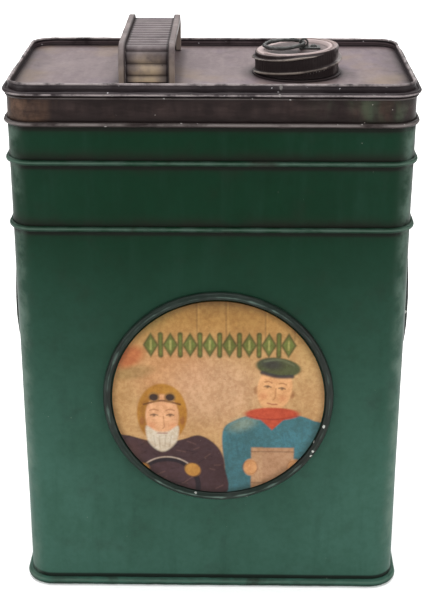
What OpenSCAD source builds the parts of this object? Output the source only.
// Oblong tinplate motor oil can with a strap handle and a threaded pour cap.
// Millimetres, +Z up, front face towards -Y, origin on the table under the middle of the can.

/* [Body] */
// Width of the body, side to side
body_w = 170; // [150:1:190]
// Depth of the body, front to back
body_d = 93; // [85:1:110]
// Outside radius of the upright corners
corner_r = 11; // [8:0.5:16]
// Height at which the green body meets the brown collar
body_top_z = 222.7; // [215:0.1:232]
// Thickness of the sheet
sheet_t = 0.8; // [0.6:0.1:1.2]
// Height of the lower band bead
lower_bead_z = 177; // [165:0.1:185]
// Height of the upper band bead
upper_bead_z = 205.9; // [195:0.1:212]
// Wire radius of the band beads
bead_r = 1.25; // [0.9:0.05:1.5]
// How far the band beads stand proud of the wall
bead_proud = 1.75; // [1.3:0.05:2.2]
// Width of the lock seam down the back
seam_w = 9; // [6:0.5:12]

/* [Base] */
// Radius of the rolled base rim
base_rim_r = 2.0; // [1.5:0.1:2.4]
// How far the base rim stands proud of the wall
base_rim_proud = 2.4; // [1.8:0.1:3]

/* [Top] */
// Height of the brown collar above the body
collar_h = 12.2; // [9:0.1:13]
// Radius of the lip bead under the rim
lip_r = 1.15; // [0.8:0.05:1.3]
// How far the lip bead stands proud of the collar
lip_proud = 1.9; // [1.4:0.05:2.2]
// Height of the raised rim above the top panel
rim_h = 3.9; // [3:0.1:5]
// Radius of the roll along the rim
rim_r = 1.0; // [0.7:0.05:1.2]
// How far the rim is set in from the collar
rim_inset = 0.9; // [0.5:0.1:1.5]

/* [Handle] */
// Distance of the handle's centre from the middle of the can, to the left
handle_x = 26.7; // [22:0.1:32]
// Width over both rails
handle_w = 23.4; // [20:0.1:26]
// Length of the handle, front to back
handle_len = 72; // [60:1:78]
// Height of the rails above the top panel
handle_h = 17.5; // [15:0.1:22]
// Outside radius of the handle's bends
handle_bend_r = 7; // [5:0.5:9]
// Width of each rail
rail_w = 3; // [2:0.1:3.5]
// Depth of each rail
rail_d = 3.2; // [2.4:0.1:4]
// How far the rails stand above the ribbed strap
rail_proud = 2.6; // [1:0.1:3]
// Spacing of the grip ribs
rib_pitch = 5; // [3:0.1:6]
// Radius of the grip ribs
rib_r = 0.9; // [0.6:0.05:1.1]

/* [Neck and cap] */
// Position of the neck to the right of the middle
neck_x = 36.1; // [30:0.1:42]
// Position of the neck, front to back
neck_y = -9; // [-14:0.5:0]
// Outside radius of the neck tube
neck_r = 16.2; // [15:0.1:16.4]
// Inside radius of the neck tube
neck_bore_r = 15; // [13:0.1:15.2]
// Height of the neck above the top panel
neck_h = 8.1; // [7:0.1:10]
// Outside radius of the cap wall between its ridges
cap_r = 17.8; // [17.5:0.1:18.5]
// Outside radius over the cap's rolled ridges
cap_crest_r = 19.7; // [19:0.1:21]
// Inside radius of the cap wall
cap_bore_r = 17; // [16.8:0.1:17.2]
// Rise of the two-start thread in one turn
thread_lead = 12; // [10:0.5:14]

/* [Pull ring] */
// Radius of the ring, to the middle of its wire
ring_r = 8.4; // [7:0.1:8.8]
// Radius of the ring's wire
wire_r = 0.9; // [0.7:0.05:1.1]
// Distance of the ring's hinge from the cap's axis
hinge_dx = 2.9; // [2.4:0.1:4]
// Radius of the eye that the wire turns in
eye_r = 1.3; // [1.2:0.05:1.4]

/* [Medallions] */
// Sideways offset of the front medallion
front_dx = 3.2; // [-5:0.1:5]
// Height of the front medallion's centre
front_z = 97.7; // [85:0.1:110]
// Radius of the front picture disc
front_disc_r = 47; // [40:0.5:50]
// Wire radius of the front frame
front_wire_r = 2; // [1.2:0.1:2.2]
// Height of the side medallions' centres
side_z = 134.7; // [110:0.1:140]
// Radius of a side picture disc
side_disc_r = 27.9; // [24:0.1:32]
// Wire radius of a side frame
side_wire_r = 1.4; // [1:0.1:1.7]

/* [Hidden] */

$fn = 96;

green = [0.13, 0.29, 0.21];
brown = [0.22, 0.16, 0.15];
mauve = [0.60, 0.54, 0.53];
wire_grey = [0.45, 0.44, 0.40];
picture_cream = [0.80, 0.70, 0.52];

// Heights that follow from the body and the sheet
panel_z = body_top_z + collar_h + sheet_t;
rim_roll_z = panel_z + rim_h - rim_r;
floor_z = 2.4;

// Collar details
collar_bead_z = body_top_z - 0.3;
step_bead_r = 0.6;
step_bead_proud = 0.75;
step_bead_z = body_top_z + collar_h - 1.6;
lip_z = body_top_z + collar_h + 0.2;
seam_t = 1.0;

// Handle outlines, seen from the side
strap_t = 1.2;
strap_h = handle_h - rail_proud;
strap_len = handle_len - 2 * rail_proud;
strap_w = handle_w - 2 * rail_w;
foot_len = 9;
foot_t = 1;
rivet_r = 1.2;
rivet_head_r = 2.1;
rivet_head_h = 1.1;
rivet_dx = 5;
rivet_dy = handle_len / 2 - rail_proud - strap_t - foot_len / 2 - 1;

// Neck and cap stack, upwards from the panel
flange_r = 19;
flange_t = 0.7;
cap_z = panel_z + flange_t + 0.4;
neck_top_z = panel_z + neck_h;
gasket_t = 0.8;
disc_seat_z = neck_top_z + gasket_t;
disc_step_t = 0.8;
cap_flange_z = disc_seat_z + disc_step_t;
cap_top_z = cap_flange_z + 1.6;
disc_top_z = cap_flange_z + 0.8;
cap_mouth_r = 15.4;
thread_z0 = cap_z - 1.1;
thread_step = 7.5;

// Pull ring hinge
hinge_x = neck_x + hinge_dx;
hinge_z = disc_top_z + 2.3;
lug_r = 2.0;
lug_t = 1.6;
keeper_t = 0.7;
keeper_len = 9;
keeper_w = 5.6;
keeper_rivet_dx = 4.2;
ring_tilt = asin((hinge_z - disc_top_z - wire_r - 0.1) / (2 * ring_r));

// Medallion discs and their frames
disc_t = 1.2;
frame_gap = 0.3;
side_frame_proud = base_rim_proud - 0.2;

// A flat rounded rectangle, centred
module rounded_rect(w, d, r) {
    square([w - 2 * r, d], center = true);
    square([w, d - 2 * r], center = true);
    for (sx = [-1, 1], sy = [-1, 1])
        translate([sx * (w / 2 - r), sy * (d / 2 - r)])
            circle(r);
}

// A solid rounded block that follows the body's outline, inset by "inset"
module block(inset, z0, z1) {
    translate([0, 0, z0])
        linear_extrude(z1 - z0)
            rounded_rect(body_w - 2 * inset, body_d - 2 * inset, corner_r - inset);
}

// A wall that follows the body's outline
module wall(inset, t, z0, z1) {
    difference() {
        block(inset, z0, z1);
        block(inset + t, z0 - 1, z1 + 1);
    }
}

// A round wire bent around the body's outline, its centre "out" outside the wall
module wire_loop(out, z, r) {
    bend = corner_r + out;
    straight_w = body_w - 2 * corner_r;
    straight_d = body_d - 2 * corner_r;
    translate([0, 0, z]) {
        for (s = [-1, 1]) {
            translate([-straight_w / 2, s * (body_d / 2 + out), 0])
                rotate([0, 90, 0])
                    cylinder(h = straight_w, r = r);
            translate([s * (body_w / 2 + out), straight_d / 2, 0])
                rotate([90, 0, 0])
                    cylinder(h = straight_d, r = r);
        }
        for (c = [[1, 1, 0], [-1, 1, 90], [-1, -1, 180], [1, -1, 270]])
            translate([c[0] * straight_w / 2, c[1] * straight_d / 2, 0])
                rotate([0, 0, c[2]])
                    rotate_extrude(angle = 90)
                        translate([bend, 0])
                            circle(r);
    }
}

// A bead with a flat back that sits against the wall
module bead(z, r, proud) {
    difference() {
        wire_loop(proud - r, z, r);
        block(0, z - 3 * r, z + 3 * r);
    }
}

// The side outline of the handle: an arch with rounded bends, standing on the panel
module arch(len, h, r) {
    translate([-len / 2, 0])
        square([len, h - r]);
    translate([-len / 2 + r, 0])
        square([len - 2 * r, h]);
    for (s = [-1, 1])
        translate([s * (len / 2 - r), h - r])
            circle(r);
}

// An arch-shaped strip of the given thickness
module arch_strip(len, h, r, t) {
    difference() {
        arch(len, h, r);
        translate([0, -1])
            arch(len - 2 * t, h - t + 1, r - t);
    }
}

// Stands a side outline up across the can, from x0 over width w
module across(x0, w) {
    translate([x0, 0, panel_z])
        rotate([90, 0, 90])
            linear_extrude(w)
                children();
}

// One handle rail with its left side at x0
module handle_rail(x0) {
    color(mauve)
        across(x0, rail_w)
            arch_strip(handle_len, handle_h, handle_bend_r, rail_d);
}

// Places for the four handle rivets
module at_rivets() {
    for (sx = [-1, 1], sy = [-1, 1])
        translate([-handle_x + sx * rivet_dx, sy * rivet_dy, panel_z])
            children();
}

// A helical ridge with a tapering section, from angle a0 to a1
module helix_ridge(a0, a1, r_in, r_out, half_in, half_out) {
    n = ceil((a1 - a0) / thread_step);
    function section(a) =
        let (z = thread_z0 + thread_lead * (a - 180) / 360)
        [for (p = [[r_in, -half_in], [r_out, -half_out], [r_out, half_out], [r_in, half_in]])
            [p[0] * cos(a), p[0] * sin(a), z + p[1]]];
    points = [for (i = [0 : n]) each section(a0 + (a1 - a0) * i / n)];
    sides = [for (i = [0 : n - 1], k = [0 : 3])
        let (a = 4 * i + k, b = 4 * i + (k + 1) % 4)
        each [[a, b + 4, a + 4], [a, b, b + 4]]];
    polyhedron(points, concat([[3, 2, 1, 0]], sides, [[4 * n, 4 * n + 1, 4 * n + 2, 4 * n + 3]]));
}

// Both starts of a thread between two angles of the first start
module two_starts(a0, a1, r_in, r_out, half_in, half_out) {
    for (start = [0, 180])
        rotate([0, 0, start])
            helix_ridge(a0, a1, r_in, r_out, half_in, half_out);
}

// A slice about the neck's axis
module disc_slice(r, z0, z1) {
    translate([0, 0, z0])
        cylinder(h = z1 - z0, r = r);
}

// Moves to the neck's axis
module at_neck() {
    translate([neck_x, neck_y, 0])
        children();
}

// A wire frame that lies against the wall plane z = 0 and stands "proud" of it
module frame_ring(r, wire, proud) {
    difference() {
        translate([0, 0, proud - wire])
            rotate_extrude()
                translate([r, 0])
                    circle(wire);
        translate([0, 0, -2 * wire])
            cylinder(h = 2 * wire, r = r + 3 * wire);
    }
}

// Turns a piece made on z = 0 to face out of the front, left or right wall
module on_front() {
    translate([front_dx, -body_d / 2, front_z])
        rotate([90, 0, 0])
            children();
}

module on_side(s) {
    translate([s * body_w / 2, 0, side_z])
        rotate([0, s * 90, 0])
            children();
}

module body_shell() {
    color(green) {
        wall(0, sheet_t, floor_z, body_top_z);
        difference() {
            translate([-seam_w / 2, body_d / 2, 10])
                cube([seam_w, seam_t, lower_bead_z - 20]);
            translate([-seam_w / 2 + 1.2, body_d / 2 + 0.7, 9])
                cube([0.8, seam_t, lower_bead_z]);
        }
    }
}

module bottom_panel() {
    color(brown)
        block(sheet_t, floor_z, floor_z + sheet_t);
}

module base_rim() {
    color(green)
        difference() {
            union() {
                wire_loop(base_rim_proud - base_rim_r, base_rim_r, base_rim_r);
                wall(0, 2.4, 0, floor_z);
            }
            block(2.4, -1, floor_z);
            block(0, floor_z, 10);
        }
}

module lower_band_bead() {
    color(green)
        bead(lower_bead_z, bead_r, bead_proud);
}

module upper_band_bead() {
    color(green)
        bead(upper_bead_z, bead_r, bead_proud);
}

module collar_bead() {
    color(brown)
        bead(collar_bead_z, bead_r, bead_proud);
}

module collar_band() {
    color(brown)
        wall(0, sheet_t, body_top_z, body_top_z + collar_h);
}

module collar_step_bead() {
    color(brown)
        bead(step_bead_z, step_bead_r, step_bead_proud);
}

module top_lip() {
    color(mauve)
        difference() {
            wire_loop(lip_proud - lip_r, lip_z, lip_r);
            block(0, lip_z - 3 * lip_r, panel_z);
        }
}

module top_rim() {
    color(mauve) {
        wall(rim_inset, sheet_t, panel_z, rim_roll_z);
        wire_loop(-rim_inset - sheet_t / 2, rim_roll_z, rim_r);
    }
}

module top_panel() {
    color(mauve)
        difference() {
            block(0, panel_z - sheet_t, panel_z);
            at_neck()
                disc_slice(neck_r, panel_z - 2, panel_z + 1);
            at_rivets()
                translate([0, 0, -2])
                    cylinder(h = 4, r = rivet_r);
        }
}

module handle_strap() {
    color(mauve)
        difference() {
            union() {
                across(-handle_x - strap_w / 2, strap_w) {
                    arch_strip(strap_len, strap_h, handle_bend_r - rail_proud, strap_t);
                    for (y = [-5 : 5])
                        translate([y * rib_pitch, strap_h])
                            circle(rib_r, $fn = 32);
                    for (s = [-1, 1], z = [1 : 2])
                        translate([s * strap_len / 2, z * rib_pitch - 2])
                            circle(rib_r, $fn = 32);
                    for (s = [-1, 1])
                        translate([s * (strap_len - foot_len) / 2 - foot_len / 2, 0])
                            square([foot_len, foot_t]);
                }
            }
            at_rivets()
                translate([0, 0, -1])
                    cylinder(h = 3, r = rivet_r);
        }
}

module handle_rail_left() {
    handle_rail(-handle_x - handle_w / 2);
}

module handle_rail_right() {
    handle_rail(-handle_x + handle_w / 2 - rail_w);
}

module handle_rivets() {
    color(wire_grey)
        at_rivets() {
            translate([0, 0, foot_t])
                cylinder(h = rivet_head_h, r1 = rivet_head_r, r2 = rivet_head_r * 0.6);
            translate([0, 0, -sheet_t])
                cylinder(h = sheet_t + foot_t, r = rivet_r);
            translate([0, 0, -sheet_t - rivet_head_h])
                cylinder(h = rivet_head_h, r = rivet_head_r);
        }
}

module neck_tube() {
    color(mauve)
        at_neck()
            difference() {
                union() {
                    disc_slice(neck_r, panel_z - 2.6, neck_top_z);
                    two_starts(279, 387, neck_r - 0.3, neck_r + 1.5, 0.9, 0.35);
                }
                disc_slice(neck_bore_r, panel_z - 4, neck_top_z + 1);
            }
}

module neck_flange() {
    color(mauve)
        at_neck()
            difference() {
                disc_slice(flange_r, panel_z, panel_z + flange_t);
                disc_slice(neck_r, panel_z - 1, panel_z + flange_t + 1);
            }
}

module cap_shell() {
    color(brown)
        at_neck()
            difference() {
                union() {
                    disc_slice(cap_r, cap_z, cap_top_z);
                    intersection() {
                        two_starts(120, 540, cap_r - 0.5, cap_crest_r, 1.9, 0.8);
                        disc_slice(cap_crest_r + 3, cap_z, cap_top_z - 0.9);
                    }
                }
                disc_slice(cap_bore_r, cap_z - 1, cap_flange_z);
                disc_slice(cap_mouth_r, cap_z, cap_top_z + 1);
                intersection() {
                    two_starts(90, 540, cap_bore_r - 0.6, cap_crest_r - 0.8, 1.6, 0.5);
                    disc_slice(cap_crest_r + 3, cap_z - 3, neck_top_z);
                }
            }
}

module cap_top_disc() {
    color(mauve)
        at_neck() {
            disc_slice(cap_bore_r - 0.1, disc_seat_z, cap_flange_z);
            disc_slice(cap_mouth_r - 0.1, cap_flange_z, disc_top_z);
        }
}

module cap_gasket() {
    color([0.15, 0.13, 0.12])
        at_neck()
            disc_slice(neck_r + 0.3, neck_top_z, disc_seat_z);
}

module ring_keeper() {
    color(wire_grey)
        translate([hinge_x, neck_y, 0])
            difference() {
                union() {
                    translate([-lug_r, -keeper_w / 2, disc_top_z])
                        cube([keeper_len, keeper_w, keeper_t]);
                    translate([-lug_r, -lug_t / 2, disc_top_z])
                        cube([2 * lug_r, lug_t, hinge_z - disc_top_z]);
                    translate([0, lug_t / 2, hinge_z])
                        rotate([90, 0, 0])
                            cylinder(h = lug_t, r = lug_r);
                }
                translate([0, lug_t, hinge_z])
                    rotate([90, 0, 0])
                        cylinder(h = 2 * lug_t, r = eye_r);
                translate([keeper_rivet_dx, 0, disc_top_z - 1])
                    cylinder(h = 3, r = 0.8);
            }
}

module keeper_rivet() {
    color(wire_grey)
        translate([hinge_x + keeper_rivet_dx, neck_y, disc_top_z]) {
            cylinder(h = keeper_t, r = 0.8);
            translate([0, 0, keeper_t])
                cylinder(h = 0.9, r1 = 1.5, r2 = 0.9);
        }
}

module pull_ring() {
    color(wire_grey)
        translate([hinge_x, neck_y, hinge_z])
            rotate([0, -ring_tilt, 0])
                translate([-ring_r, 0, 0])
                    rotate_extrude()
                        translate([ring_r, 0])
                            circle(wire_r, $fn = 48);
}

module front_medallion_frame() {
    color(wire_grey)
        on_front()
            frame_ring(front_disc_r + frame_gap + front_wire_r, front_wire_r, base_rim_proud);
}

module front_medallion_disc() {
    color(picture_cream)
        on_front()
            cylinder(h = disc_t, r = front_disc_r);
}

module left_medallion_frame() {
    color(wire_grey)
        on_side(-1)
            frame_ring(side_disc_r + frame_gap + side_wire_r, side_wire_r, side_frame_proud);
}

module left_medallion_disc() {
    color(picture_cream)
        on_side(-1)
            cylinder(h = disc_t, r = side_disc_r);
}

module right_medallion_frame() {
    color(wire_grey)
        on_side(1)
            frame_ring(side_disc_r + frame_gap + side_wire_r, side_wire_r, side_frame_proud);
}

module right_medallion_disc() {
    color(picture_cream)
        on_side(1)
            cylinder(h = disc_t, r = side_disc_r);
}

body_shell();
bottom_panel();
base_rim();
lower_band_bead();
upper_band_bead();
collar_bead();
collar_band();
collar_step_bead();
top_lip();
top_rim();
top_panel();
handle_strap();
handle_rail_left();
handle_rail_right();
handle_rivets();
neck_tube();
neck_flange();
cap_shell();
cap_top_disc();
cap_gasket();
ring_keeper();
keeper_rivet();
pull_ring();
front_medallion_frame();
front_medallion_disc();
left_medallion_frame();
left_medallion_disc();
right_medallion_frame();
right_medallion_disc();
